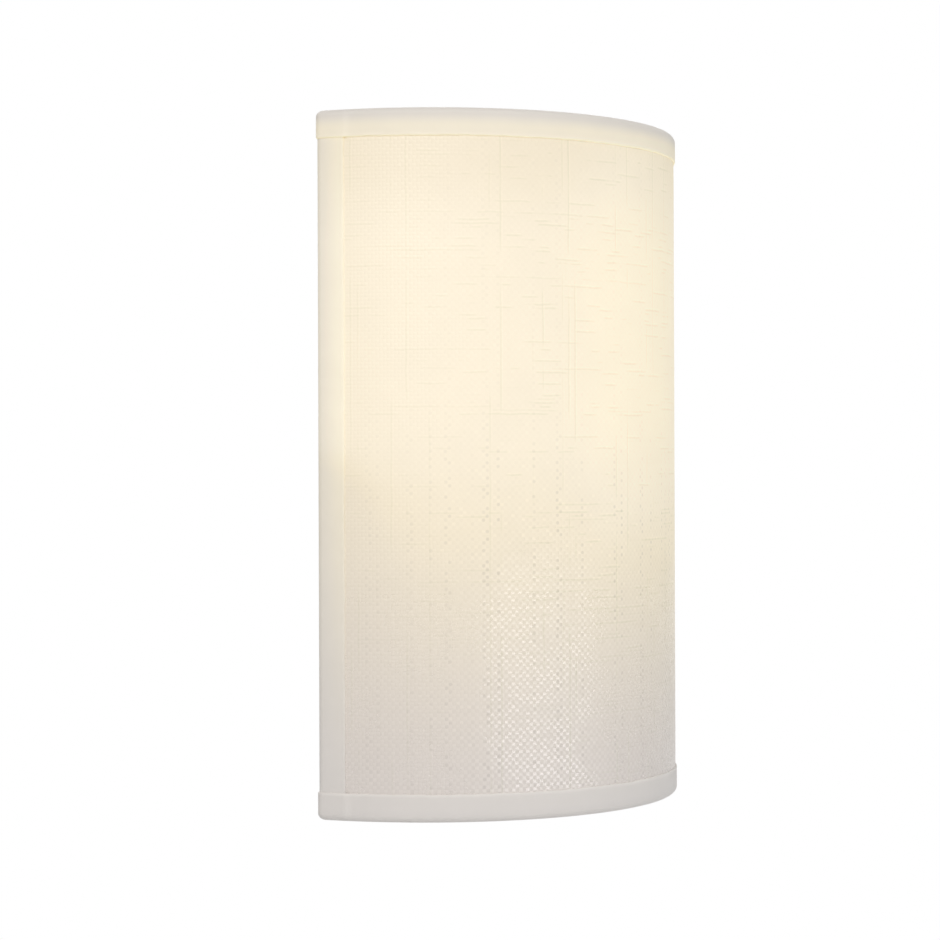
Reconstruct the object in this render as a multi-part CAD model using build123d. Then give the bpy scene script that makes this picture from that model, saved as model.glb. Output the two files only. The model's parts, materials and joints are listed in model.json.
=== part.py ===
from build123d import *
import os
from math import cos, degrees, radians, sin, tan

# Wall lamp with a part-drum linen shade, in millimetres. The wall is the plane Y = 0 and the lamp
# stands out from it towards -Y, with +Z up and the origin behind the middle of the wall bracket.

# Shade: cloth laminated to a stiff liner, with taped hems rolled round a wire frame
shade_height = 300.0
shade_radius = 112.0  # outside of the cloth, about the drum's axis
shade_half_angle = 80.0  # from the front of the drum to each upright post
wall_gap = 3.0
cloth_thick = 0.6
liner_thick = 0.5
tape_thick = 0.6
glue = 0.05
hem_height = 12.0
side_hem_width = 10.0
tape_tuck = 130.0  # degrees that the tape turns round its wire
hem_wrap = 125.0  # degrees that the top and bottom tapes turn round each post
wire_d = 3.2

# Fixing of the shade: slotted tabs under thumbscrews on the ends of the support arm
tab_sheet = 1.6
tab_margin = 7.0  # tab beyond the screw's axis, towards the middle of the lamp
tab_front = 7.0
drum_clear = 1.2  # left between the liner and what ends just inside it
slot_clear = 0.3
slide_gap = 0.2
screw_r = 2.0
screw_inset = 9.0  # from the arm's end
screw_from_wall = 10.0
head_r = 6.0
head_h = 8.0
head_flutes = 20
flute_r = 0.55
collar_r = 4.2
collar_h = 1.4
nut_flats = 8.0
nut_h = 3.2
thread_clear = 0.05

# Carrier: bracket on the wall, pan over it, arm across the pan
bracket_length = 150.0
bracket_width = 26.0
bracket_sheet = 1.6
bracket_corner = 6.5
cable_hole_r = 9.0
slot_pitch = 84.0
slot_length = 20.0
slot_r = 2.4
stud_pitch = 124.0
stud_r = 2.0
acorn_flats = 7.0
acorn_h = 3.4
acorn_dome_r = 3.2
pan_width = 90.0
pan_height = 166.0
pan_depth = 16.0
pan_sheet = 1.0
pan_corner = 12.0
pan_round = 3.0
arm_top = 6.0
arm_sheet = 1.6
arm_width = 18.0
arm_post_gap = 4.0
arm_round = 9.0
pad_width = 24.0
flange_width = 58.0
flange_height = 20.0
bend_r = 1.2
relief_depth = 3.2  # cut in the strip beside each end of the fold
plate_margin = 4.5  # arm round the clamping ring
rivet_pitch = 42.0
rivet_drop = 12.0  # below the top of the arm
rivet_r = 1.6
rivet_head_r = 3.2
rivet_head_h = 1.2
rivet_head_round = 0.95
rivet_tail_r = 2.6

# Lampholder, on an upright axis
lamp_from_wall = 56.0
holder_r = 19.5
holder_clear = 0.3
holder_flange_reach = 4.0
holder_flange_h = 3.0
holder_mouth_r = 17.0
holder_mouth_depth = 12.0
holder_rise = 16.0
holder_drop = 9.0
holder_ring_wall = 6.0
holder_ring_h = 6.5
ring_grip_wall = 4.1
ring_step_h = 2.6
ring_notches = 16
notch_r = 1.1
core_wall = 1.2
core_base = 8.0
core_rim_h = 13.0
shell_sheet = 0.5
shell_height = 24.0
cap_drop = 25.0
cap_wall = 2.4
boss_r = 7.0
boss_h = 5.0
wire_hole_r = 3.9
contact_sheet = 0.8
contact_width = 6.0
contact_length = 15.0
contact_round = 1.5

# Bulb
bulb_r = 30.0
bulb_length = 108.0
bulb_seat = 17.0  # bulb's tip below the top of the arm
bulb_cap_r = 13.0
bulb_cap_h = 21.0
bulb_cap_taper = 2.4
bulb_clear = 0.3
bulb_tip_r = 4.6
bulb_tip_h = 1.6
bulb_insulator_h = 4.2
bulb_neck_r = 14.2
bulb_neck_h = 4.2
bulb_flank_bulge = 1.5
bulb_housing_top = 60.0
globe_wall = 1.4

# Wiring inside the pan
lead_d = 2.2
lead_spread = 3.0
lead_entry = 4.4  # inside a terminal tube, and straight before it
bend_share = 0.45  # of the shorter run beside a bend
grommet_z = -48.0
grommet_bore_r = 3.6
grommet_r = 6.8
grommet_lip = 1.4
grommet_neck_r = 5.2
pole_pitch = 8.0
pole_count = 3
block_top = -8.0
block_length = 17.0
block_height = 11.0
block_base = 3.5
hump_width = 6.7
hump_height = 7.7
screw_post_r = 3.0
tube_r = 2.2
tube_bore_r = 1.35
terminal_screw_r = 1.2
terminal_screw_inset = 3.8
fixing_head_h = 1.8
earth_x = 28.0
earth_z = -46.0
earth_screw_r = 2.0
earth_head_r = 3.6
earth_head_h = 2.4
tag_r = 4.0
tag_sheet = 0.8
tag_tail = 7.0
tag_tail_width = 3.0
washer_sheet = 0.6

# Tolerance for picking edges and corners
tiny = 0.01

# Sizes that follow from those
half_height = shade_height / 2
wire_r = wire_d / 2
liner_out = shade_radius - cloth_thick - glue
liner_in = liner_out - liner_thick
ring_radius = liner_in - glue - wire_r
tape_in = shade_radius + glue
roll_r = (tape_in - (ring_radius - wire_r - glue)) / 2
roll_at = tape_in - roll_r
roll_reach = roll_r + tape_thick
ring_z = half_height - roll_reach
loop_r = wire_r + glue + tape_thick
drum_y = roll_at * cos(radians(shade_half_angle)) - roll_reach - wall_gap
side_hem_z = half_height - hem_height
rail_z = (side_hem_z + ring_z - loop_r) / 2
post_x = ring_radius * sin(radians(shade_half_angle))
post_y = drum_y - ring_radius * cos(radians(shade_half_angle))
lamp_y = -lamp_from_wall
pan_front = -pan_depth
arm_under = arm_top - arm_sheet
arm_half = post_x - wire_r - arm_post_gap
screw_x = arm_half - screw_inset
screw_y = -screw_from_wall
tab_low = arm_top + slide_gap
tab_high = tab_low + tab_sheet
tab_back = post_y + wire_r / 2
inner_room = liner_in - drum_clear
holder_flange_r = holder_r + holder_flange_reach
holder_ring_r = holder_r + holder_ring_wall
ring_grip_r = holder_r + ring_grip_wall
tip_z = arm_top - bulb_seat
core_floor = tip_z - bulb_clear - contact_sheet
core_under = core_floor - core_base
shell_in = bulb_cap_r + bulb_clear
shell_out = shell_in + shell_sheet
core_in = shell_out + glue
core_r = core_in + core_wall
flange_under = arm_under - holder_flange_h
skirt_under = flange_under - holder_drop
cap_under = skirt_under - cap_drop
bulb_cap_low = tip_z + bulb_insulator_h
bulb_cap_high = bulb_cap_low + bulb_cap_h
bulb_cap_end_r = bulb_cap_r - bulb_cap_taper
globe_low = tip_z + bulb_housing_top
globe_in = bulb_r - globe_wall
rivet_z = arm_top - rivet_drop
block_bottom = block_top - block_length
block_back = pan_front + pan_sheet
tube_y = block_back + block_base + tube_r
fixing_head_r = pole_pitch / 2 - tube_r - 2 * glue


def box(x0, x1, y0, y1, z0, z1):
    return Pos((x0 + x1) / 2, (y0 + y1) / 2, (z0 + z1) / 2) * Box(x1 - x0, y1 - y0, z1 - z0)


def upright(r, x, y, z0, z1):
    return Pos(x, y, (z0 + z1) / 2) * Cylinder(r, z1 - z0)


def peg(r, x, z, y0, y1):
    """A cylinder square to the wall."""
    return Pos(x, (y0 + y1) / 2, z) * Rot(90, 0, 0) * Cylinder(r, y1 - y0)


def turned(face, x=0.0, y=0.0):
    """Turn a section drawn in radius and height about an upright axis."""
    return Pos(x, y, 0) * revolve(Plane.XZ * face, Axis.Z)


def outline(*points):
    return make_face(Polyline(*points, close=True))


def hexagon(flats, height):
    return extrude(RegularPolygon(flats / 2, 6, major_radius=False), height)


def both_sides(part):
    """A piece of the right-hand side and its mirror image."""
    return part, mirror(part, Plane.YZ)


def group(solids):
    return Compound(children=list(solids))


# Shade


def round_drum(section, half_angle):
    """Turn a section drawn in radius and height about the drum's axis, centred on the front."""
    swept = revolve(Plane.XZ * section, Axis.Z, 2 * half_angle)
    return Pos(0, drum_y, 0) * Rot(0, 0, -90 - half_angle) * swept


def on_drum(radius, angle):
    return (radius * sin(radians(angle)), drum_y - radius * cos(radians(angle)))


def drum_panel(r_in, r_out):
    section = Pos((r_in + r_out) / 2, 0) * Rectangle(r_out - r_in, 2 * ring_z)
    return round_drum(section, shade_half_angle)


def rolled_tape(leg, roll_centre, wire_centre, angle):
    """Section of a hem tape: a leg on the cloth, a roll over the edge and a tuck round the wire."""
    sides = []
    for offset in (0.0, tape_thick):
        sides.append(
            [
                leg(tape_in + offset),
                CenterArc(roll_centre, roll_r + offset, angle, 180),
                CenterArc(wire_centre, wire_r + glue + offset, angle + 180, tape_tuck),
            ]
        )
    inner, outer = sides
    ends = [Line(inner[0] @ 0, outer[0] @ 0), Line(inner[-1] @ 1, outer[-1] @ 1)]
    return make_face(inner + outer + ends)


def post_room():
    """What a hem is cut back by round each post."""
    return [upright(wire_r + slot_clear, s * post_x, post_y, -ring_z, ring_z + wire_r + slot_clear) for s in (-1, 1)]


def hem_corner_part():
    """End of the top tape: it turns round the post, with a rounded corner over the post's top."""
    hem_low = half_height - hem_height
    inner = [Line((roll_r, hem_low), (roll_r, ring_z)), CenterArc((0, ring_z), roll_r, 0, 90)]
    outer = [Line((roll_reach, hem_low), (roll_reach, ring_z)), CenterArc((0, ring_z), roll_reach, 0, 90)]
    ends = [Line(inner[0] @ 0, outer[0] @ 0), Line(inner[-1] @ 1, outer[-1] @ 1)]
    bent = revolve(Plane.XZ * make_face(inner + outer + ends), Axis.Z, hem_wrap)
    return Pos(*on_drum(roll_at, shade_half_angle), 0) * Rot(0, 0, shade_half_angle - 90) * bent


def top_hem_part():
    section = rolled_tape(
        lambda r: Line((r, half_height - hem_height), (r, ring_z)),
        (roll_at, ring_z),
        (ring_radius, ring_z),
        0,
    )
    corner = hem_corner_part()
    return round_drum(section, shade_half_angle) + [*both_sides(corner)] - post_room()


def side_hem_part():
    start = shade_half_angle - degrees(side_hem_width / shade_radius)
    section = rolled_tape(
        lambda r: CenterArc((0, drum_y), r, start - 90, shade_half_angle - start),
        on_drum(roll_at, shade_half_angle),
        on_drum(ring_radius, shade_half_angle),
        shade_half_angle - 90,
    )
    tape = Pos(0, 0, -side_hem_z) * extrude(section, 2 * side_hem_z)
    notch = box(
        screw_x,
        post_x,
        screw_y - tab_front - slot_clear,
        tab_back + slot_clear,
        tab_low - slot_clear,
        tab_high + slot_clear,
    )
    return tape - notch


def ring_part():
    """Hoop of wire, butt-welded to the posts at its ends."""
    section = Pos(ring_radius, ring_z) * Circle(wire_r)
    return round_drum(section, shade_half_angle - degrees((wire_r + glue) / ring_radius))


def post_part():
    return upright(wire_r, post_x, post_y, -ring_z - wire_r, ring_z + wire_r)


def rail_part():
    """Straight wire across the open back, butt-welded to the posts."""
    return Pos(0, post_y, rail_z) * Rot(0, 90, 0) * Cylinder(wire_r, 2 * (post_x - wire_r - glue))


def tab_part():
    """Tab welded to a post, with a slot open towards the wall for the thumbscrew."""
    blank = box(screw_x - tab_margin, post_x, screw_y - tab_front, tab_back, tab_low, tab_high)
    drum_room = upright(inner_room, 0, drum_y, tab_low, tab_high)
    slot_half = screw_r + slot_clear
    slot = upright(slot_half, screw_x, screw_y, tab_low, tab_high)
    mouth = box(screw_x - slot_half, screw_x + slot_half, screw_y, tab_back, tab_low, tab_high)
    return (blank & drum_room) - slot - mouth - post_part()


# Fixing of the shade


def thumbscrew_part():
    """Knurled head and collar over the tab, and a shank down through the arm and its nut."""
    base = tab_high + slide_gap
    head_low = base + collar_h
    head = chamfer(
        upright(head_r, screw_x, screw_y, head_low, head_low + head_h).edges().filter_by(GeomType.CIRCLE),
        flute_r,
    )
    for at in PolarLocations(head_r, head_flutes):
        flute = upright(flute_r, 0, 0, head_low, head_low + head_h)
        head -= Pos(screw_x, screw_y, 0) * at * flute
    collar = upright(collar_r, screw_x, screw_y, base, head_low)
    shank = upright(screw_r, screw_x, screw_y, arm_under - nut_h, base)
    return head + collar + shank


def clinch_nut_part():
    body = Pos(screw_x, screw_y, arm_under - nut_h) * hexagon(nut_flats, nut_h)
    return body - upright(screw_r + thread_clear, screw_x, screw_y, arm_under - nut_h, arm_under)


# Carrier


def bracket_part():
    plate = RectangleRounded(bracket_width, bracket_length, bracket_corner)
    plate -= Circle(cable_hole_r)
    for side in (-1, 1):
        plate -= Pos(0, side * slot_pitch / 2) * Rot(0, 0, 90) * SlotOverall(slot_length, 2 * slot_r)
        plate -= Pos(0, side * stud_pitch / 2) * Circle(stud_r + thread_clear)
    return extrude(Plane.XZ * plate, bracket_sheet)


def stud_parts():
    end = pan_front - acorn_h
    return [peg(stud_r, 0, s * stud_pitch / 2, end, 0) for s in (-1, 1)]


def cap_nut_parts():
    nuts = []
    for side in (-1, 1):
        dome = Sphere(acorn_dome_r, arc_size1=0, align=(Align.CENTER, Align.CENTER, Align.MIN))
        body = hexagon(acorn_flats, acorn_h) + Pos(0, 0, acorn_h) * dome
        body -= Pos(0, 0, acorn_h / 2) * Cylinder(stud_r + thread_clear, acorn_h)
        nuts.append(Pos(0, pan_front, side * stud_pitch / 2) * Rot(90, 0, 0) * body)
    return nuts


def pan_shell(inset):
    """The pan's form, or its inside when inset by its sheet."""
    face = RectangleRounded(pan_width - 2 * inset, pan_height - 2 * inset, pan_corner - inset)
    form = extrude(Plane.XZ * face, pan_depth - inset)
    front = form.faces().sort_by(Axis.Y)[0]
    return fillet(front.edges(), pan_round - inset)


def pan_part():
    pan = pan_shell(0) - pan_shell(pan_sheet)
    through = (pan_front - pan_sheet, pan_front + 2 * pan_sheet)
    for side in (-1, 1):
        pan -= peg(stud_r + slot_clear, 0, side * stud_pitch / 2, *through)
        pan -= peg(rivet_r + thread_clear, side * rivet_pitch / 2, rivet_z, *through)
    pan -= peg(grommet_neck_r + thread_clear, 0, grommet_z, *through)
    pan -= peg(earth_screw_r + thread_clear, earth_x, earth_z, *through)
    pan -= peg(terminal_screw_r + thread_clear, *fixing_at(), *through)
    return pan


def arm_web():
    """Plan of the arm: a round seat for the lampholder, a strip across the pan and an end pad each side."""
    strip_front = pan_front - arm_width
    neck = Pos(0, (lamp_y + pan_front) / 2) * Rectangle(flange_width, pan_front - lamp_y)
    strip = Pos(0, pan_front - arm_width / 2) * Rectangle(2 * arm_half, arm_width)
    web = neck + strip
    front = [v for v in web.vertices() if abs(v.Y - strip_front) < tiny]
    corners = [v for v in front if abs(abs(v.X) - flange_width / 2) < tiny]
    web = fillet(corners, arm_round)
    web += Pos(0, lamp_y) * Circle(holder_ring_r + plate_margin)
    pad_depth = -wall_gap - strip_front
    for side in (-1, 1):
        pad_at = Pos(side * (arm_half - pad_width / 2), -wall_gap - pad_depth / 2)
        web += pad_at * RectangleRounded(pad_width, pad_depth, arm_sheet)
        relief_at = Pos(side * (flange_width + arm_sheet) / 2, pan_front)
        web -= relief_at * Rectangle(arm_sheet, 2 * relief_depth)
    web -= Pos(0, lamp_y) * Circle(holder_r + holder_clear)
    return web & (Pos(0, drum_y) * Circle(inner_room))


def arm_part():
    """Folded sheet: the web, and a flange that is riveted to the pan."""
    arm = Pos(0, 0, arm_under) * extrude(arm_web(), arm_sheet)
    flange_back = pan_front - arm_sheet
    arm += box(-flange_width / 2, flange_width / 2, flange_back, pan_front, arm_top - flange_height, arm_top)
    fold = [e for e in arm.edges().filter_by(Axis.X) if abs(e.length - flange_width) < tiny]
    inside = [e for e in fold if abs(e.center().Z - arm_under) < tiny]
    arm = fillet(inside, bend_r)
    fold = [e for e in arm.edges().filter_by(Axis.X) if abs(e.length - flange_width) < tiny]
    outside = [e for e in fold if abs(e.center().Z - arm_top) < tiny]
    arm = fillet(outside, bend_r + arm_sheet)
    for side in (-1, 1):
        arm -= upright(screw_r + thread_clear, side * screw_x, screw_y, arm_under, arm_top)
        arm -= peg(rivet_r + thread_clear, side * rivet_pitch / 2, rivet_z, flange_back, pan_front)
    return arm


def rivet_parts():
    """Blind rivets: a domed head on the arm's flange and an upset tail inside the pan."""
    rivets = []
    for side in (-1, 1):
        x = side * rivet_pitch / 2
        head_y = pan_front - arm_sheet
        tail_y = pan_front + pan_sheet
        shank = peg(rivet_r, x, rivet_z, head_y, tail_y)
        head = peg(rivet_head_r, x, rivet_z, head_y - rivet_head_h, head_y)
        head = fillet(head.edges().sort_by(Axis.Y)[0], rivet_head_round)
        tail = peg(rivet_tail_r, x, rivet_z, tail_y, tail_y + rivet_head_h)
        rivets.append(shank + head + tail)
    return rivets


# Lampholder


def skirt_part():
    mouth_floor = arm_top + holder_rise - holder_mouth_depth
    bore = core_r + glue
    rim = arm_top + holder_rise
    section = outline(
        (bore, skirt_under),
        (holder_r, skirt_under),
        (holder_r, flange_under),
        (holder_flange_r, flange_under),
        (holder_flange_r, arm_under),
        (holder_r, arm_under),
        (holder_r, rim),
        (holder_mouth_r, rim),
        (holder_mouth_r, mouth_floor),
        (bore, mouth_floor),
    )
    return turned(section, 0, lamp_y)


def clamp_ring_part():
    step = arm_top + ring_step_h
    top = arm_top + holder_ring_h
    bore = holder_r + holder_clear
    section = outline(
        (bore, arm_top),
        (holder_ring_r, arm_top),
        (holder_ring_r, step),
        (ring_grip_r, step),
        (ring_grip_r, top),
        (bore, top),
    )
    ring = turned(section, 0, lamp_y)
    for at in PolarLocations(ring_grip_r, ring_notches):
        ring -= Pos(0, lamp_y, 0) * at * upright(notch_r, 0, 0, step, top)
    return ring


def core_part():
    top = core_floor + core_rim_h
    section = outline(
        (0, core_under),
        (core_r, core_under),
        (core_r, top),
        (core_in, top),
        (core_in, core_floor),
        (0, core_floor),
    )
    return turned(section, 0, lamp_y)


def shell_part():
    top = core_floor + shell_height
    section = outline((shell_in, core_floor), (shell_out, core_floor), (shell_out, top), (shell_in, top))
    return turned(section, 0, lamp_y)


def contact_part():
    """Spring tongue under the bulb's tip."""
    tongue = box(
        -contact_length / 2,
        contact_length / 2,
        lamp_y - contact_width / 2,
        lamp_y + contact_width / 2,
        core_floor,
        core_floor + contact_sheet,
    )
    return fillet(tongue.edges().filter_by(Axis.Z), contact_round)


def holder_cap_part():
    """Domed end cap with a hollow for the terminals and a boss with the leads' hole."""
    shoulder = (holder_r + boss_r) / 2
    dome_z = cap_under + boss_h
    seat_r = core_r + glue
    hollow_r = core_r - cap_wall
    section = outline(
        (wire_hole_r, cap_under),
        (boss_r, cap_under),
        (boss_r, dome_z),
        (shoulder, dome_z + cap_wall),
        (holder_r, core_under - cap_wall),
        (holder_r, skirt_under),
        (seat_r, skirt_under),
        (seat_r, core_under),
        (hollow_r, core_under),
        (hollow_r, core_under - cap_wall),
        (wire_hole_r, dome_z + cap_wall),
    )
    return turned(section, 0, lamp_y)


# Bulb


def bulb_tip_part():
    return upright(bulb_tip_r, 0, lamp_y, tip_z, tip_z + bulb_tip_h)


def bulb_insulator_part():
    low = tip_z + bulb_tip_h
    section = outline((0, low), (bulb_tip_r, low), (bulb_cap_end_r, bulb_cap_low), (0, bulb_cap_low))
    return turned(section, 0, lamp_y)


def bulb_cap_part():
    section = outline(
        (0, bulb_cap_low),
        (bulb_cap_end_r, bulb_cap_low),
        (bulb_cap_r, bulb_cap_low + bulb_cap_taper),
        (bulb_cap_r, bulb_cap_high),
        (0, bulb_cap_high),
    )
    return turned(section, 0, lamp_y)


def bulb_housing_part():
    """Body that flares from the cap to the dome."""
    neck = bulb_cap_high + bulb_neck_h
    middle = ((bulb_neck_r + globe_in) / 2 + bulb_flank_bulge, (neck + globe_low) / 2)
    edges = [
        Line((0, bulb_cap_high), (bulb_neck_r, bulb_cap_high)),
        Line((bulb_neck_r, bulb_cap_high), (bulb_neck_r, neck)),
        ThreePointArc((bulb_neck_r, neck), middle, (globe_in, globe_low)),
        Line((globe_in, globe_low), (0, globe_low)),
        Line((0, globe_low), (0, bulb_cap_high)),
    ]
    return turned(make_face(edges), 0, lamp_y)


def bulb_globe_part():
    """Frosted dome: a thin shell on the housing's rim."""
    high = tip_z + bulb_length
    dome_z = high - bulb_r
    edges = []
    for r in (bulb_r, globe_in):
        edges.append(Line((r, globe_low), (r, dome_z)))
        edges.append(CenterArc((0, dome_z), r, 0, 90))
    edges.append(Line((globe_in, globe_low), (bulb_r, globe_low)))
    edges.append(Line((0, high - globe_wall), (0, high)))
    return turned(make_face(edges), 0, lamp_y)


# Wiring


def poles():
    return [(i - (pole_count - 1) / 2) * pole_pitch for i in range(pole_count)]


def fixing_at():
    """X and Z of the terminal block's fixing screw, between two poles."""
    return (poles()[0] + pole_pitch / 2, (block_top + block_bottom) / 2)


def block_part():
    width = pole_count * pole_pitch
    block = box(-width / 2, width / 2, block_back, block_back + block_base, block_bottom, block_top)
    half = hump_width / 2
    for x in poles():
        block += box(x - half, x + half, block_back, block_back + hump_height, block_bottom, block_top)
        for z in screw_heights():
            block += peg(screw_post_r, x, z, block_back, block_back + block_height)
        tube = upright(tube_r + glue, x, tube_y, block_bottom, block_top)
        block -= tube
        for z in screw_heights():
            block -= peg(terminal_screw_r + thread_clear, x, z, tube_y, block_back + block_height)
    block -= peg(terminal_screw_r + thread_clear, *fixing_at(), block_back, block_back + block_height)
    pocket_y = block_back + block_base
    return block - peg(fixing_head_r + thread_clear, *fixing_at(), pocket_y, block_back + block_height)


def screw_heights():
    return (block_bottom + terminal_screw_inset, block_top - terminal_screw_inset)


def tube_parts():
    tubes = []
    for x in poles():
        tube = upright(tube_r, x, tube_y, block_bottom, block_top)
        tube -= upright(tube_bore_r, x, tube_y, block_bottom, block_top)
        for z in screw_heights():
            tube -= peg(terminal_screw_r + thread_clear, x, z, tube_y, tube_y + tube_r)
        tubes.append(tube)
    return tubes


def terminal_screw_parts():
    low = tube_y + tube_bore_r
    high = block_back + block_height - terminal_screw_r
    return [peg(terminal_screw_r, x, z, low, high) for x in poles() for z in screw_heights()]


def fixing_screw_part():
    x, z = fixing_at()
    head_y = block_back + block_base
    shank = peg(terminal_screw_r, x, z, pan_front, head_y)
    return shank + peg(fixing_head_r, x, z, head_y, head_y + fixing_head_h)


def grommet_part():
    """Rubber ring that grips the edge of its hole in the pan."""
    low = -pan_sheet / 2 - grommet_lip
    groove = pan_sheet / 2
    section = outline(
        (grommet_bore_r, low),
        (grommet_r, low),
        (grommet_r, -groove),
        (grommet_neck_r, -groove),
        (grommet_neck_r, groove),
        (grommet_r, groove),
        (grommet_r, -low),
        (grommet_bore_r, -low),
    )
    ring = revolve(Plane.XZ * section, Axis.Z)
    return Pos(0, pan_front + pan_sheet / 2, grommet_z) * Rot(90, 0, 0) * ring


def lead(points):
    """Insulated lead along straight runs, with bends as large as the runs leave room for."""
    radii = []
    for a, b, c in zip(points, points[1:], points[2:]):
        before, after = Vector(b) - Vector(a), Vector(c) - Vector(b)
        turn = radians(before.get_angle(after))
        radii.append(bend_share * min(before.length, after.length) / tan(turn / 2))
    path = FilletPolyline(*points, radius=radii)
    print("lead bends", [round(r, 1) for r in radii], "length", round(path.length, 1))
    section = Plane(origin=path @ 0, z_dir=path % 0) * Circle(lead_d / 2)
    return sweep(section, path=path)


def holder_lead(side, pole_x):
    x = side * lead_spread / 2
    return lead(
        [
            (x, lamp_y, core_under),
            (x, lamp_y, grommet_z),
            (x, tube_y, grommet_z),
            (pole_x, tube_y, block_bottom - lead_entry),
            (pole_x, tube_y, block_bottom + lead_entry),
        ]
    )


def earth_lead_part():
    """From the last pole down to the tag's tail, where it lies along the tail."""
    x = poles()[-1]
    tag_y = block_back + tag_sheet + lead_d / 2
    start_z = block_bottom + lead_entry
    return lead(
        [
            (x, tube_y, start_z),
            (x, tube_y, (start_z + earth_z) / 2),
            (earth_x - tag_r - tag_tail, tag_y, earth_z),
            (earth_x - tag_r - slot_clear, tag_y, earth_z),
        ]
    )


def earth_tag_part():
    high = block_back + tag_sheet
    tag = peg(tag_r, earth_x, earth_z, block_back, high)
    half = tag_tail_width / 2
    tag += box(earth_x - tag_r - tag_tail, earth_x, block_back, high, earth_z - half, earth_z + half)
    return tag - peg(earth_screw_r + thread_clear, earth_x, earth_z, block_back, high)


def earth_washer_part():
    low = block_back + tag_sheet
    ring = peg(earth_head_r, earth_x, earth_z, low, low + washer_sheet)
    return ring - peg(earth_screw_r + thread_clear, earth_x, earth_z, low, low + washer_sheet)


def earth_screw_part():
    low = block_back + tag_sheet + washer_sheet
    head = peg(earth_head_r, earth_x, earth_z, low, low + earth_head_h)
    return head + peg(earth_screw_r, earth_x, earth_z, pan_front, low)


def all_parts():
    top_hem = top_hem_part()
    top_ring = ring_part()
    top_rail = rail_part()
    parts = {
        "shade_cloth": drum_panel(shade_radius - cloth_thick, shade_radius),
        "shade_liner": drum_panel(liner_in, liner_out),
        "top_hem": top_hem,
        "bottom_hem": mirror(top_hem, Plane.XY),
        "top_ring": top_ring,
        "bottom_ring": mirror(top_ring, Plane.XY),
        "top_rail": top_rail,
        "bottom_rail": mirror(top_rail, Plane.XY),
        "wall_bracket": bracket_part(),
        "bracket_studs": group(stud_parts()),
        "cap_nuts": group(cap_nut_parts()),
        "wall_pan": pan_part(),
        "support_arm": arm_part(),
        "arm_rivets": group(rivet_parts()),
        "clinch_nuts": group(both_sides(clinch_nut_part())),
        "holder_skirt": skirt_part(),
        "holder_ring": clamp_ring_part(),
        "holder_core": core_part(),
        "holder_shell": shell_part(),
        "holder_contact": contact_part(),
        "holder_cap": holder_cap_part(),
        "bulb_tip": bulb_tip_part(),
        "bulb_insulator": bulb_insulator_part(),
        "bulb_cap": bulb_cap_part(),
        "bulb_housing": bulb_housing_part(),
        "bulb_globe": bulb_globe_part(),
        "terminal_block": block_part(),
        "terminal_tubes": group(tube_parts()),
        "terminal_screws": group(terminal_screw_parts()),
        "block_screw": fixing_screw_part(),
        "lead_grommet": grommet_part(),
        "live_lead": holder_lead(-1, poles()[0]),
        "neutral_lead": holder_lead(1, poles()[1]),
        "earth_lead": earth_lead_part(),
        "earth_tag": earth_tag_part(),
        "earth_washer": earth_washer_part(),
        "earth_screw": earth_screw_part(),
    }
    for name, make in (
        ("hem", side_hem_part),
        ("post", post_part),
        ("tab", tab_part),
        ("thumbscrew", thumbscrew_part),
    ):
        parts["right_" + name], parts["left_" + name] = both_sides(make())
    return parts


os.makedirs("parts", exist_ok=True)
for node, part in all_parts().items():
    export_step(part, f"parts/{node}.step")
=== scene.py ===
import json
from collections import namedtuple
from math import cos, pi, radians, sin, sqrt, tau

import bmesh
import bpy
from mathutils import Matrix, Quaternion, Vector


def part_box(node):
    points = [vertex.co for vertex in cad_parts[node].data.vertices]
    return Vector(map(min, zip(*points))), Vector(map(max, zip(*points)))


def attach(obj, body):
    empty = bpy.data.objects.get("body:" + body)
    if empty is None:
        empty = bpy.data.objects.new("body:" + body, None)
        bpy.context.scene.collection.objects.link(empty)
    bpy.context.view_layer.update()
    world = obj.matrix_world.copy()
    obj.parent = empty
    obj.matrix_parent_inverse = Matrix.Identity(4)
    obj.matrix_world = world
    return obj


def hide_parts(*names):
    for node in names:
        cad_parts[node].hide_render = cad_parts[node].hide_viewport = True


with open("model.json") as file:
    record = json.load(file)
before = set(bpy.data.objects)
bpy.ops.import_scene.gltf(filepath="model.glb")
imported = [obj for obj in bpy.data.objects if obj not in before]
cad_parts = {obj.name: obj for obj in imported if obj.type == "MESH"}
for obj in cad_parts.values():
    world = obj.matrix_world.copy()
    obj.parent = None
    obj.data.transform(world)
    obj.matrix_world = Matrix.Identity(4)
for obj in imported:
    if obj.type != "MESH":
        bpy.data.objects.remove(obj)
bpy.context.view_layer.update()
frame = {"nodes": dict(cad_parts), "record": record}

# Wall lamp with a part-drum linen shade, in metres, in the frame of the solids: the wall is the plane
# Y = 0, the lamp stands out towards -Y and +Z is up. On the flat cloth, u runs along the drum from its
# front and v runs up from the lamp's middle.

MM = 0.001

# Where two threads cross: height, their numbers, places across each, and 1 if the level one is on top
Weave = namedtuple("Weave", "height warp weft part_u part_v over")
# Slubs: share of the threads, scale along them, and the noise at which a slub starts and is full
Slubs = namedtuple("Slubs", "share scale start full")
# A line along a thread, in pitches: its middle, and half its width without and with its soft edges
Line = namedtuple("Line", "at core rim")
# A row across a tape: its places inside and outside, its way across and its turn round the shade's edge
Row = namedtuple("Row", "inside outside way turn")
# A station along a tape: its place, turn at a corner, shift of the free edge, puff and lift
Station = namedtuple("Station", "at turn shift puff over")
Lamp = namedtuple("Lamp", "name azimuth elevation distance size power colour")

# Sizes read from the solids
cloth_low, cloth_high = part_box("shade_cloth")
post_low, post_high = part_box("right_post")
tab_low, tab_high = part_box("right_tab")
cap_low, cap_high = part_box("bulb_cap")
insulator_low, insulator_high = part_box("bulb_insulator")
globe_low, globe_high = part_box("bulb_globe")

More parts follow.
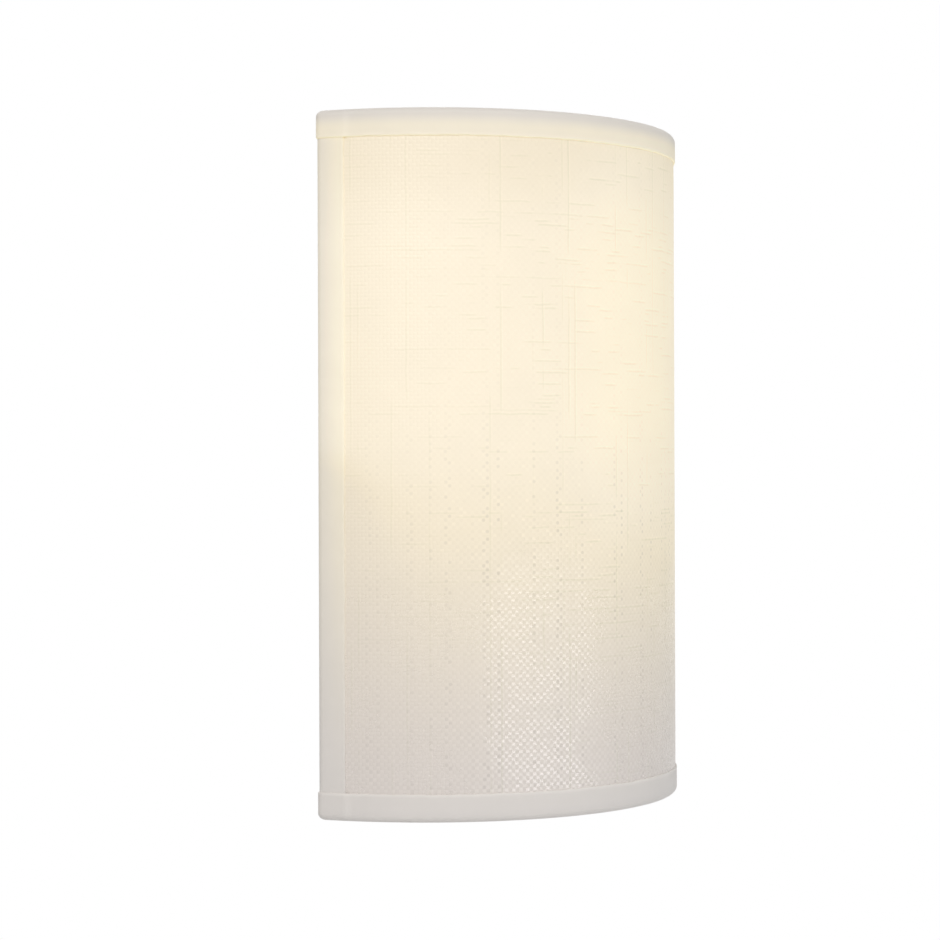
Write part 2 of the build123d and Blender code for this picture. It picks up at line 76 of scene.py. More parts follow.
half_angle = radians(80)
shade_r = cloth_high.x / sin(half_angle)
drum_y = cloth_low.y + shade_r
ring_z = cloth_high.z
hem_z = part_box("top_hem")[0].z
hem_leg = ring_z - hem_z
wire_r = (post_high.x - post_low.x) / 2
ring_r = (post_high.x + post_low.x) / 2 / sin(half_angle)
globe_r = (globe_high.x - globe_low.x) / 2
globe_centre = Vector((0.0, (globe_low.y + globe_high.y) / 2, globe_high.z - globe_r))

# Shape of the cloth
cloth_thick = 0.6 * MM
cloth_uneven = 0.07 * MM
cloth_wave = 0.25  # share of each of its two waves
cloth_arc_waves = (0.061, 0.023)
cloth_height_waves = (0.047, 0.019)
cloth_slant = 0.3  # shift of the waves along the drum, for each metre up
even_margin = 2 * MM  # even beside the tapes, then more and more uneven
even_ease = 6 * MM

# Shape of the tapes
tape_thick = 0.6 * MM
fold_thick = 0.62 * MM  # turned-under edge of a tape
fold_round = 0.8 * MM
fold_reach = 3 * MM
fold_least = 0.15  # share of the thickness that the rounded edge starts with
glue = 0.05 * MM
tape_in = shade_r + glue
roll_r = (tape_in - (ring_r - wire_r - glue)) / 2
roll_at = tape_in - roll_r
tuck_turn = radians(130)
corner_turn = radians(125)
corner_lift = 0.62 * MM  # the top and bottom tapes lie over the ends of the side tapes
lift_over = 2.5 * MM
side_leg = 10 * MM
side_end = ring_z - roll_r - tape_thick - 2 * glue
notch_clear = 0.3 * MM
notch_turn = radians(150)
edge_wander = 0.16 * MM
wander_reach = 4 * MM
wander_ease = 14 * MM
hem_puff = 0.06 * MM
side_puff = 0.05 * MM
leg_steps = (0.0, 0.06, 0.16, 0.3, 0.45, 0.8, 1.4, 2.2, 3.2, 4.6, 6.4, 8.4)  # in mm from the free edge
leg_end_gap = 0.3 * MM

# Meshes
merge_within = 0.001 * MM
sharp_from = radians(50)
turn_slack = 0.001

# Glow of the lit bulb in the cloth
glow_low = -160 * MM
glow_full = 35 * MM
glow_top_start = 85 * MM
glow_top_end = 150 * MM
glow_top_loss = 0.31
side_shadow_start = radians(45)
side_shadow_z = 3 * MM
front_shadow_z = -50 * MM
side_shadow_soft = 8 * MM
front_shadow_soft = 60 * MM
side_shadow = 0.30
front_near = radians(8)
front_far = radians(32)
front_gain = 0.2
glow_colour = (1.0, 0.84, 0.36)
glow_low_colour = (1.0, 0.79, 0.16)
warm_below = 0.7  # share of light at which the low colour starts to turn into the other one
glow_strength = 0.29

# Weave, in pitches of the threads unless a unit is given
thread = 1.6 * MM
tape_thread = 0.34 * MM
thread_drift = 0.55
drift_scale_u = 90.0
drift_scale_v = 110.0
hole_core = 0.2
hole_rim = 0.66
hole_chance = (0.1, 0.8)
hole_seeds = (12.99, 78.23)
open_seed = 5000.5
open_from = 0.78  # upright threads with a random number above this have their pinholes open
open_full = 0.9
closed_share = 0.15

# Slubs
upright_slubs = Slubs(share=0.22, scale=24.0, start=0.48, full=0.58)
level_slubs = Slubs(share=0.68, scale=60.0, start=0.51, full=0.61)
level_seed = 4000.0
slub_thickest = 0.4  # share of the slubbed threads that are full
slub_spread = 97.0
dark_line = Line(at=0.3, core=0.12, rim=0.3)
light_line = Line(at=0.75, core=0.1, rim=0.25)
slub_front = 1.9
slub_side = 0.55
slub_front_u = 20 * MM
slub_side_u = 120 * MM
level_low_z = -110 * MM
level_full_z = -20 * MM
level_low = 0.3

# Linen
linen_colour = (0.665, 0.609, 0.577)
slub_colour = (0.628, 0.586, 0.530)
linen_roughness = 0.64
weave_depth = 0.048 * MM
slub_height = 0.5
linen_cloud = 35.0
cell_seeds = (7.13, 31.7)
grain_seed = 900.0
thread_tone = 0.016
# painted sheen: the glossy raised threads are made lighter in tone
painted_sheen_tone = 0.14
# painted shade: thread crowns lighter, the hollows between threads darker
painted_relief_shade = 0.030
mean_tone = 0.05
cloud_tone = 0.015
hole_tone = -0.16
# painted glints: crowns of some raised threads made lighter
painted_glint_tone = 0.05
painted_glint_from = 0.84
painted_glint_full = 0.97
slub_tone = -0.015
beside_tone = 0.02
slub_loss = -0.03
cloud_loss = 0.05
calm_low_z = -160 * MM
calm_high_z = -35 * MM
calm_least = 0.12
speck_low_z = -40 * MM
speck_high_z = 40 * MM
speck_high = 0.2
speck_front_u = 75 * MM
speck_side_u = 130 * MM
speck_side = 0.45
worn_cell = 0.5  # crossings with a random number below this are duller, down to a share of the gloss
worn_cell_least = 0.55
worn_cloud_from = 0.36
worn_cloud_to = 0.52
worn_cloud_least = 0.7
gloss_low_z = -62 * MM
gloss_high_z = -2 * MM
gloss_low = 0.38
gloss_high = 0.1

# Tape material: bands across it, from its free edge or from the shade's edge, for its painted highlight and
# shade and the light through it
tape_colour = (0.782, 0.748, 0.726)
tape_depth = 0.05 * MM
tape_cloud = 60.0
fold_start, fold_end = 0.2 * MM, 0.7 * MM
edge_start, edge_end = 0.7 * MM, 1.8 * MM
roll_start, roll_end = -3 * MM, 1 * MM
light_end = 1.8 * MM

# Liner and bulb
liner_colour = (0.80, 0.785, 0.75)
liner_glow = 0.16
liner_near = 0.5
liner_reach = 50 * MM
liner_depth = 0.04 * MM
liner_cloud = 40.0
liner_grain = 900.0
liner_roughness = 0.35
liner_gloss = 0.2
globe_colour = (0.66, 0.64, 0.59)
globe_light = (1.0, 0.86, 0.62)
globe_strength = 0.36
globe_cloud = 70.0
globe_roughness = 0.35
globe_gloss = 0.15
globe_dim = 0.5
globe_dim_below = 4 * MM  # round the globe's rim
globe_dim_above = 16 * MM

# Hard finishes
finish_cloud = 55.0
finish_gloss = 0.16
brushed_cloud = 80.0
brushed_gloss = 0.18
brushed_depth = 0.012 * MM
stripe_rate = 1300.0
earth_green = (0.05, 0.30, 0.06)
earth_yellow = (0.72, 0.58, 0.04)
stripe_edge = 0.3
earth_grain = 600.0
earth_roughness = 0.35
earth_gloss = 0.2

# Camera and stage
photo_px = 940
focal_px = 2500
sensor = 36.0
camera_azimuth = radians(-56.31)
camera_distance = 1.1508
centre_px = (455.5, 464.8)  # the lamp's origin in the photograph
camera_roll = radians(0.19)
white = (1.0, 1.0, 1.0)
world_light = 0.35
floor_z = -0.9
floor_half = 40.0
floor_near = 0.9
floor_far = 1.8
floor_white = 0.5  # share of plain white in the floor near the lamp
floor_colour = (0.90, 0.90, 0.895)
floor_cloud = 6.0
lamps = (
    Lamp("key", -64, 38, 2.4, (1.6, 1.6), 29.0, (1.0, 0.97, 0.93)),
    Lamp("satin", -5, -13, 2.0, (2.0, 0.6), 5.4, white),
    Lamp("front", 42, 14, 2.4, (1.2, 1.2), 4.0, (0.90, 0.96, 1.0)),
    Lamp("back", 130, 25, 2.6, (1.6, 1.6), 24.0, white),
)


class Nodes:
    """Short calls for the nodes of one material."""

    mix_colours = (6, 7)  # the colour sockets of a Mix node
    mix_result = 2

    def __init__(self, name):
        self.material = bpy.data.materials.new(name)
        self.material.use_nodes = True
        self.tree = self.material.node_tree
        self.shader = self.tree.nodes["Principled BSDF"]
        self.output = self.tree.nodes["Material Output"]

    def add(self, kind, **settings):
        node = self.tree.nodes.new(kind)
        for key, value in settings.items():
            setattr(node, key, value)
        return node

    def feed(self, value, socket):
        if isinstance(value, bpy.types.NodeSocket):
            self.tree.links.new(value, socket)
        else:
            socket.default_value = value

    def math(self, operation, *values):
        node = self.add("ShaderNodeMath", operation=operation)
        for value, socket in zip(values, node.inputs):
            self.feed(value, socket)
        return node.outputs[0]

    def times(self, product, *values):
        """The product of all the given values."""
        for value in values:
            product = self.math("MULTIPLY", product, value)
        return product

    def smooth(self, value, low, high, to_low=0.0, to_high=1.0):
        node = self.add("ShaderNodeMapRange", interpolation_type="SMOOTHSTEP")
        for given, socket in zip((value, low, high, to_low, to_high), node.inputs):
            self.feed(given, socket)
        return node.outputs[0]

    def colour(self, factor, first, second):
        node = self.add("ShaderNodeMix", data_type="RGBA", blend_type="MIX")
        self.feed(factor, node.inputs["Factor"])
        for value, socket in zip((first, second), self.mix_colours):
            self.feed((*value, 1.0), node.inputs[socket])
        return node.outputs[self.mix_result]

    def shade(self, colour, amount):
        """A colour times a number."""
        node = self.add("ShaderNodeVectorMath", operation="SCALE")
        self.feed(colour, node.inputs[0])
        self.feed(amount, node.inputs["Scale"])
        return node.outputs[0]

    def noise(self, vector, scale, detail=2.0):
        node = self.add("ShaderNodeTexNoise")
        self.feed(vector, node.inputs["Vector"])
        self.feed(scale, node.inputs["Scale"])
        self.feed(detail, node.inputs["Detail"])
        return node.outputs["Fac"]

    def random(self, value):
        """A number from 0 to 1 that depends on the given one alone."""
        node = self.add("ShaderNodeTexWhiteNoise", noise_dimensions="1D")
        self.feed(value, node.inputs["W"])
        return node.outputs["Value"]

    def vector(self, x=0.0, y=0.0, z=0.0):
        node = self.add("ShaderNodeCombineXYZ")
        for value, socket in zip((x, y, z), node.inputs):
            self.feed(value, socket)
        return node.outputs[0]

    def split(self, vector):
        node = self.add("ShaderNodeSeparateXYZ")
        self.feed(vector, node.inputs[0])
        return node.outputs

    def place(self):
        """Place on the object, in metres."""
        return self.add("ShaderNodeTexCoord").outputs["Object"]

    def unrolled(self):
        """Place on the flat cloth, in metres: along the drum, and up it."""
        return self.split(self.add("ShaderNodeUVMap", uv_map="flat").outputs[0])

    def bump(self, height, distance):
        node = self.add("ShaderNodeBump")
        self.feed(1.0, node.inputs["Strength"])
        self.feed(distance, node.inputs["Distance"])
        self.feed(height, node.inputs["Height"])
        self.feed(node.outputs[0], self.shader.inputs["Normal"])

    def set(self, **values):
        for key, value in values.items():
            self.feed(value, self.shader.inputs[key.replace("_", " ")])


def about(nodes, value, spread):
    """A number near 1 from one between 0 and 1."""
    return nodes.math("MULTIPLY_ADD", value, 2 * spread, 1 - spread)


# Cloth materials


def glow(nodes):
    """Share of the bulb's light that comes through the shade. It falls off downwards and near the top, is a
    little more at the front, and less in the support arm's shadow, whose edge is sharper at the sides."""
    x, y, z = nodes.split(nodes.place())
    front = nodes.math("SUBTRACT", drum_y, y)
    angle = nodes.math("ABSOLUTE", nodes.math("ARCTAN2", x, front))
    side = nodes.smooth(angle, side_shadow_start, half_angle)
    edge = nodes.math("MULTIPLY_ADD", side, side_shadow_z - front_shadow_z, front_shadow_z)
    soft = nodes.math("MULTIPLY_ADD", side, side_shadow_soft - front_shadow_soft, front_shadow_soft)
    below = nodes.smooth(z, nodes.math("SUBTRACT", edge, soft), nodes.math("ADD", edge, soft), 1.0, 0.0)
    shadow = nodes.times(below, side, side_shadow)
    fall = nodes.smooth(z, glow_low, glow_full)
    top = nodes.smooth(z, glow_top_start, glow_top_end, 1.0, 1.0 - glow_top_loss)
    lit = nodes.times(fall, top, nodes.math("SUBTRACT", 1.0, shadow))
    near = nodes.times(nodes.smooth(angle, front_near, front_far, front_gain, 0.0), fall)
    return nodes.math("MULTIPLY_ADD", lit, near, lit)


def warm(nodes, lit):
    """Colour of the light through the shade, warmer where little of it comes through."""
    return nodes.colour(nodes.smooth(lit, warm_below, 1.0), glow_low_colour, glow_colour)


def weave(nodes, u, v, pitch):
    """Plain weave of threads that wander a little."""
    drift_u = nodes.math("SUBTRACT", nodes.noise(nodes.vector(u, v), drift_scale_u), 0.5)
    drift_v = nodes.math("SUBTRACT", nodes.noise(nodes.vector(v, u), drift_scale_v), 0.5)
    count_u = nodes.math("MULTIPLY_ADD", drift_u, thread_drift, nodes.math("DIVIDE", u, pitch))
    count_v = nodes.math("MULTIPLY_ADD", drift_v, thread_drift, nodes.math("DIVIDE", v, pitch))
    warp, weft = nodes.math("FLOOR", count_u), nodes.math("FLOOR", count_v)
    part_u, part_v = nodes.math("FRACT", count_u), nodes.math("FRACT", count_v)
    crown_u = nodes.math("SINE", nodes.times(part_u, pi))
    crown_v = nodes.math("SINE", nodes.times(part_v, pi))
    over = nodes.math("FLOORED_MODULO", nodes.math("ADD", warp, weft), 2.0)
    warp_top = nodes.times(crown_u, nodes.math("MULTIPLY_ADD", crown_v, 0.5, 0.5))
    weft_top = nodes.times(crown_v, nodes.math("MULTIPLY_ADD", crown_u, 0.5, 0.5))
    height = nodes.math("MULTIPLY_ADD", over, nodes.math("SUBTRACT", weft_top, warp_top), warp_top)
    return Weave(height, warp, weft, part_u, part_v, over)


def cell_random(nodes, cloth, seeds):
    """A random number for each place where two threads cross."""
    seed_u, seed_v = seeds
    return nodes.random(nodes.math("MULTIPLY_ADD", cloth.warp, seed_u, nodes.times(cloth.weft, seed_v)))


def pinholes(nodes, cloth):
    """Pinholes where the level thread is sunk, most of them along a few upright threads."""
    off_u = nodes.math("SUBTRACT", cloth.part_u, 0.5)
    off_v = nodes.math("SUBTRACT", cloth.part_v, 0.5)
    off = nodes.math("SQRT", nodes.math("MULTIPLY_ADD", off_u, off_u, nodes.times(off_v, off_v)))
    sunk = nodes.math("SUBTRACT", 1.0, cloth.over)
    hole = nodes.times(nodes.smooth(off, hole_core, hole_rim, 1.0, 0.0), sunk)
    chance = nodes.smooth(cell_random(nodes, cloth, hole_seeds), *hole_chance)
    open_pick = nodes.random(nodes.math("ADD", cloth.warp, open_seed))
    open_warp = nodes.smooth(open_pick, open_from, open_full, closed_share, 1.0)
    return nodes.times(hole, nodes.times(chance, open_warp))


def thick_stretches(nodes, number, along, kind):
    """How thick the thread with the given number is along its length, from 0 to 1."""
    pick = nodes.random(number)
    thick = nodes.smooth(pick, 1.0 - kind.share, 1.0 - slub_thickest * kind.share)
    place = nodes.vector(nodes.times(along, kind.scale), nodes.times(pick, slub_spread))
    return nodes.times(thick, nodes.smooth(nodes.noise(place, 1.0), kind.start, kind.full))


def slub_lines(nodes, cloth, u, v, aside):
    """Slubs, as the dark lines of the thick stretches and the light lines beside them. They show most at the
    front, and the level ones less low down."""
    shown = nodes.smooth(aside, slub_front_u, slub_side_u, slub_front, slub_side)
    level_shown = nodes.times(shown, nodes.smooth(v, level_low_z, level_full_z, level_low, 1.0))
    level_number = nodes.math("ADD", cloth.weft, level_seed)
    dark, light = [], []
    for kind, number, part, along, strength in (
        (upright_slubs, cloth.warp, cloth.part_u, v, shown),
        (level_slubs, level_number, cloth.part_v, u, level_shown),
    ):
        thick = nodes.times(thick_stretches(nodes, number, along, kind), strength)
        for lines, line in ((dark, dark_line), (light, light_line)):
            off = nodes.math("ABSOLUTE", nodes.math("SUBTRACT", part, line.at))
            lines.append(nodes.times(thick, nodes.smooth(off, line.core, line.rim, 1.0, 0.0)))
    return nodes.math("ADD", *dark), nodes.math("ADD", *light)


def satin(nodes, cloth, v, cell, cloud):
    """Gloss of the level threads where they are on top, worn in places and higher low down."""
    by_cell = nodes.smooth(cell, 0.0, worn_cell, worn_cell_least, 1.0)
    by_cloud = nodes.smooth(cloud, worn_cloud_from, worn_cloud_to, worn_cloud_least, 1.0)
    by_height = nodes.smooth(v, gloss_low_z, gloss_high_z, gloss_low, gloss_high)
    return nodes.times(cloth.over, nodes.times(by_cell, by_cloud), by_height)


def linen_tone(nodes, cloth, v, aside, cell, cloud, gloss):
    """Tone of the threads, near 1: their random grain, with painted sheen on glossy raised threads and
    painted shade between the threads, which is calm in the full light, and the specks of painted glints on
    raised threads and of pinholes, which show less high up and towards the sides."""
    calm = nodes.smooth(v, calm_low_z, calm_high_z, 1.0, calm_least)
    speck_up = nodes.smooth(v, speck_low_z, speck_high_z, 1.0, speck_high)
    speck_aside = nodes.smooth(aside, speck_front_u, speck_side_u, 1.0, speck_side)
    weft_random = nodes.random(nodes.math("ADD", cloth.weft, grain_seed))
    grain = nodes.math("ADD", nodes.random(cloth.warp), weft_random)
    # painted sheen: glossy raised threads get a lighter tone
    grain = nodes.math("MULTIPLY_ADD", grain, thread_tone, nodes.times(gloss, painted_sheen_tone))
    # painted shade: thread crowns lighter, the hollows between threads darker
    grain = nodes.math("SUBTRACT", nodes.math("MULTIPLY_ADD", cloth.height, painted_relief_shade, grain), mean_tone)
    # painted glints on the crowns of some raised threads
    painted_glints = nodes.times(cloth.over, cloth.height, nodes.smooth(cell, painted_glint_from, painted_glint_full))
    holes = nodes.times(pinholes(nodes, cloth), hole_tone)
    glints_and_pinholes = nodes.math("MULTIPLY_ADD", painted_glints, painted_glint_tone, holes)
    tone = nodes.math("MULTIPLY_ADD", grain, calm, about(nodes, cloud, cloud_tone))
    return nodes.math("MULTIPLY_ADD", glints_and_pinholes, nodes.times(speck_up, speck_aside), tone)


def linen_material():
    """Coarse satin-faced linen: slubs and pinholes show against the bulb's light, raised threads glint, with
    painted glints and sheen in their tone.
    """
    n = Nodes("linen")
    u, v, _ = n.unrolled()
    aside = n.math("ABSOLUTE", u)
    cloth = weave(n, u, v, thread)
    cell = cell_random(n, cloth, cell_seeds)
    cloud = n.noise(n.vector(u, v), linen_cloud, detail=3.0)
    gloss = satin(n, cloth, v, cell, cloud)
    slub, beside = slub_lines(n, cloth, u, v, aside)
    tone = linen_tone(n, cloth, v, aside, cell, cloud, gloss)
    tone = n.math("MULTIPLY_ADD", slub, slub_tone, tone)
    tone = n.math("MULTIPLY_ADD", beside, beside_tone, tone)
    n.set(Base_Color=n.shade(n.colour(slub, linen_colour, slub_colour), tone))
    lit = glow(n)
    thinned = n.math("MULTIPLY_ADD", slub, slub_loss, 1.0)
    passed = n.times(lit, tone, thinned, about(n, cloud, cloud_loss))
    n.set(Emission_Color=warm(n, lit), Emission_Strength=n.times(passed, glow_strength))
    n.set(Roughness=n.math("SUBTRACT", linen_roughness, gloss), Specular_IOR_Level=1.0, IOR=1.8)
    n.set(Sheen_Weight=0.05, Sheen_Roughness=0.45)
    n.bump(n.math("MULTIPLY_ADD", slub, slub_height, cloth.height), weave_depth)
    return n.material


def tape_material(name, leg, painted_edge_shading, fold_light, light_from, edge_light, roll_light, painted_roll_shade):
    """Close-woven tape, with painted shade between its threads. Its painted highlight and shade and the light
    through it are given along its turned edge and where it rolls over the shade's edge; fold_light is added
    at the very edge."""
    n = Nodes(name)
    u, v, _ = n.unrolled()
    height = weave(n, u, v, tape_thread).height
    cloud = n.noise(n.vector(u, v), tape_cloud, detail=3.0)
    # painted highlight along the hem tapes' turned edge, painted shade along the side tapes'
    edge_paint = n.smooth(v, edge_start - leg, edge_end - leg, painted_edge_shading, 1.0)
    # painted shade on the roll over the shade's edge
    roll_paint = n.smooth(v, roll_start, roll_end, 1.0, painted_roll_shade)
    # painted shade: the tape's thread crowns lighter, the hollows between them darker
    tone = n.times(about(n, cloud, spread=0.02), about(n, height, spread=0.015), edge_paint, roll_paint)
    n.set(Base_Color=n.shade(tape_colour, tone))
    through = n.smooth(v, light_from, light_end, edge_light, roll_light)
    through = n.math("ADD", through, n.smooth(v, fold_start - leg, fold_end - leg, fold_light, 0.0))
    lit = glow(n)
    passed = n.times(lit, through, about(n, cloud, spread=0.06))
    n.set(Emission_Color=warm(n, lit), Emission_Strength=n.times(passed, glow_strength))
    n.set(Roughness=0.6, Specular_IOR_Level=0.5, Sheen_Weight=0.15, Sheen_Roughness=0.5)
    n.bump(height, tape_depth)
    return n.material


def liner_material():
    """Smooth film inside, finely grained, with the bulb's light on it."""
    n = Nodes("liner_film")
    place = n.place()
    cloud = n.noise(place, liner_cloud, detail=4.0)
    fine = n.noise(place, liner_grain)
    away = n.add("ShaderNodeVectorMath", operation="DISTANCE")
    n.feed(place, away.inputs[0])
    n.feed(globe_centre, away.inputs[1])
    far = n.math("DIVIDE", away.outputs["Value"], liner_reach)
    near = n.math("DIVIDE", liner_near, n.math("MULTIPLY_ADD", far, far, 1.0))
    strength = n.math("MULTIPLY_ADD", glow(n), liner_glow, near)
    n.set(Base_Color=n.shade(liner_colour, about(n, cloud, spread=0.03)))
    n.set(Emission_Color=(*glow_colour, 1.0), Emission_Strength=strength)
    n.set(Roughness=n.math("MULTIPLY_ADD", cloud, liner_gloss, liner_roughness), Specular_IOR_Level=0.4)
    n.bump(fine, liner_depth)
    return n.material


# Hard materials


def plain_finish(name, colour, roughness, mottle=0.03, grain=400.0, depth=0.02, coat=0.0):
    """Paint, plating or moulding with cloudy tone, uneven gloss and a fine grain, its depth given in mm."""
    n = Nodes(name)
    place = n.place()
    cloud = n.noise(place, finish_cloud, detail=4.0)
    fine = n.noise(place, grain)
    n.set(Base_Color=n.shade(colour, about(n, cloud, mottle)))
    n.set(Roughness=n.math("MULTIPLY_ADD", fine, finish_gloss, roughness - finish_gloss / 2))
    n.set(Coat_Weight=coat)
    n.bump(fine, depth * MM)
    return n.material


def brushed_finish(name, colour, roughness, stretch):
    """Metal with fine lines: stretch squeezes the noise along each axis."""
    n = Nodes(name)
    axes = n.split(n.place())
    squeezed = n.vector(*(n.times(axis, scale) for axis, scale in zip(axes, stretch)))
    lines = n.noise(squeezed, 1.0, detail=4.0)
    cloud = n.noise(n.place(), brushed_cloud, detail=3.0)
    n.set(Base_Color=n.shade(colour, n.times(about(n, lines, spread=0.06), about(n, cloud, spread=0.05))))
    n.set(Roughness=n.math("MULTIPLY_ADD", lines, brushed_gloss, roughness - brushed_gloss / 2), Metallic=1.0)
    n.bump(lines, brushed_depth)
    return n.material


def earth_material():
    """Green insulation with yellow stripes that turn round it."""
    n = Nodes("lead_earth")
    x, y, z = n.split(n.place())
    along = n.math("ADD", n.math("SUBTRACT", x, z), y)
    stripe = n.smooth(n.math("SINE", n.times(along, stripe_rate)), 0.0, stripe_edge)
    n.set(Base_Color=n.colour(stripe, earth_green, earth_yellow))
    fine = n.noise(n.place(), earth_grain)
    n.set(Roughness=n.math("MULTIPLY_ADD", fine, earth_gloss, earth_roughness))
    return n.material


def globe_material():
    """Frosted dome, lit from inside and a little darker at its rim."""
    n = Nodes("bulb_opal")
    _, _, z = n.split(n.place())
    cloud = n.noise(n.place(), globe_cloud, detail=3.0)
    lit = n.smooth(z, globe_low.z - globe_dim_below, globe_low.z + globe_dim_above, globe_dim, 1.0)
    n.set(Base_Color=n.shade(globe_colour, about(n, cloud, spread=0.02)))
    n.set(Emission_Color=(*globe_light, 1.0), Emission_Strength=n.times(lit, globe_strength))
    n.set(Roughness=n.math("MULTIPLY_ADD", cloud, globe_gloss, globe_roughness))
    return n.material


def node_materials():
    """The finish of each of the record's slots that solids carry."""
    return {
        "liner": liner_material(),
        "frame_wire": plain_finish("frame_wire", (0.80, 0.80, 0.78), 0.38, grain=260.0, depth=0.05),
        "white_steel": plain_finish("white_steel", (0.80, 0.80, 0.785), 0.42, grain=900.0, depth=0.035),
        "zinc_steel": brushed_finish("zinc_steel", (0.60, 0.61, 0.60), 0.36, (900.0, 900.0, 90.0)),
        "nickel": brushed_finish("nickel", (0.68, 0.65, 0.60), 0.24, (200.0, 200.0, 1600.0)),
        "holder_plastic": plain_finish("holder_plastic", (0.80, 0.79, 0.76), 0.30, grain=700.0, depth=0.012),
        "holder_ceramic": plain_finish("holder_ceramic", (0.82, 0.80, 0.76), 0.22, mottle=0.04, coat=0.4),
        "contact_brass": brushed_finish("contact_brass", (0.74, 0.55, 0.26), 0.30, (700.0, 120.0, 120.0)),
        "bulb_opal": globe_material(),
        "bulb_body": plain_finish("bulb_body", (0.80, 0.80, 0.79), 0.34, grain=500.0, depth=0.01),
        "bulb_metal": brushed_finish("bulb_metal", (0.74, 0.74, 0.73), 0.28, (150.0, 150.0, 1800.0)),
        "bulb_black": plain_finish("bulb_black", (0.02, 0.02, 0.025), 0.18, coat=0.5),
        "block_plastic": plain_finish("block_plastic", (0.78, 0.77, 0.73), 0.45, grain=600.0),
        "lead_brown": plain_finish("lead_brown", (0.20, 0.085, 0.04), 0.42, grain=600.0),
        "lead_blue": plain_finish("lead_blue", (0.04, 0.13, 0.42), 0.42, grain=600.0),
        "lead_earth": earth_material(),
        "black_rubber": plain_finish("black_rubber", (0.025, 0.025, 0.025), 0.65, grain=800.0, depth=0.04),
    }


# Mesh pieces


def make_piece(name, points, faces, material, flat=None):
    """A mesh object with sound faces; flat gives each point's place on the flat cloth."""
    mesh = bpy.data.meshes.new(name)
    mesh.from_pydata(points, [], faces)
    if flat:
        layer = mesh.uv_layers.new(name="flat")
        for loop in mesh.loops:
            layer.data[loop.index].uv = flat[loop.vertex_index]
    work = bmesh.new()
    work.from_mesh(mesh)
    bmesh.ops.remove_doubles(work, verts=work.verts, dist=merge_within)
    bmesh.ops.delete(work, geom=[v for v in work.verts if not v.link_faces], context="VERTS")
    bmesh.ops.recalc_face_normals(work, faces=work.faces)
    work.to_mesh(mesh)
    work.free()
    mesh.polygons.foreach_set("use_smooth", [True] * len(mesh.polygons))
    mesh.set_sharp_from_angle(angle=sharp_from)
    mesh.materials.append(material)
    piece = bpy.data.objects.new(name, mesh)
    bpy.context.scene.collection.objects.link(piece)
    return piece


def share(value):
    """A number, kept between 0 and 1."""
    return min(1.0, max(0.0, value))


def ripple(at, lengths, phase):
    """An uneven wave between -1 and 1, from a few sines of the given lengths."""
    return sum(sin(tau * at / length + phase * (i + 1)) for i, length in enumerate(lengths)) / len(lengths)


def on_drum(radius, angle, z):
    """A point round the drum's axis, at an angle from its front."""
    return Vector((radius * sin(angle), drum_y - radius * cos(angle), z))


def linen_panel(material):
    """The cloth: a curved sheet with an inside, an outside and edges, laid on its liner a little unevenly."""
    columns, rows = 220, 200
    free_arc = shade_r * half_angle - side_leg - even_margin
    free_z = hem_z - even_margin
    points, flat = [], []
    for layer in (0, 1):
        for j in range(rows + 1):
            z = ring_z * (2 * j / rows - 1)
            free = share((free_z - abs(z)) / even_ease)
            for i in range(columns + 1):
                angle = half_angle * (2 * i / columns - 1)
                arc = shade_r * angle
                side = share((free_arc - abs(arc)) / even_ease)
                along = cloth_wave * ripple(arc + cloth_slant * z, cloth_arc_waves, 1.0)
                up = cloth_wave * ripple(z, cloth_height_waves, 2.0)
                uneven = cloth_uneven * (0.5 + along + up) * free * side
                points.append(on_drum(shade_r + uneven if layer else shade_r - cloth_thick, angle, z))
                flat.append((arc, z))
    faces = []
    width = columns + 1
    layer_size = width * (rows + 1)
    for j in range(rows):
        for i in range(columns):
            a = j * width + i
            quad = (a, a + 1, a + width + 1, a + width)
            faces.append(tuple(reversed(quad)))
            faces.append(tuple(k + layer_size for k in quad))
    rim = list(range(width))
    rim += [j * width + columns for j in range(1, rows + 1)]
    rim += [rows * width + i for i in range(columns - 1, -1, -1)]
    rim += [j * width for j in range(rows - 1, 0, -1)]
    for a, b in zip(rim, rim[1:] + rim[:1]):
        faces.append((a, b, b + layer_size, a + layer_size))
    return make_piece("linen_panel", points, faces, material, flat)


def tape_rows(leg):
    """Rows across a tape, from its free edge on the cloth over the shade's edge to its end under the wire. A
    place inside or outside is its radius and its reach past the shade's edge."""
    rows = []
    for step in leg_steps:
        from_edge = step * MM
        if from_edge > leg - leg_end_gap:
            break
        thick = tape_thick + (fold_thick - tape_thick) * max(0.0, 1 - from_edge / fold_reach)
        rounding = max(0.0, 1 - from_edge / fold_round)
        thick *= max(fold_least, sqrt(1 - rounding**2))
        reach = from_edge - leg
        rows.append(Row((tape_in, reach), (tape_in + thick, reach), reach, 0.0))
    roll_steps, tuck_steps = 18, 12
    arcs = [(roll_at, roll_r, pi * i / roll_steps) for i in range(roll_steps + 1)]
    arcs += [(ring_r, wire_r + glue, pi + tuck_turn * i / tuck_steps) for i in range(1, tuck_steps + 1)]
    for centre, radius, turn in arcs:
        inside, outside = (
            (centre + r * cos(turn), r * sin(turn)) for r in (radius, radius + tape_thick)
        )
        rows.append(Row(inside, outside, roll_r * turn, turn))
    return rows


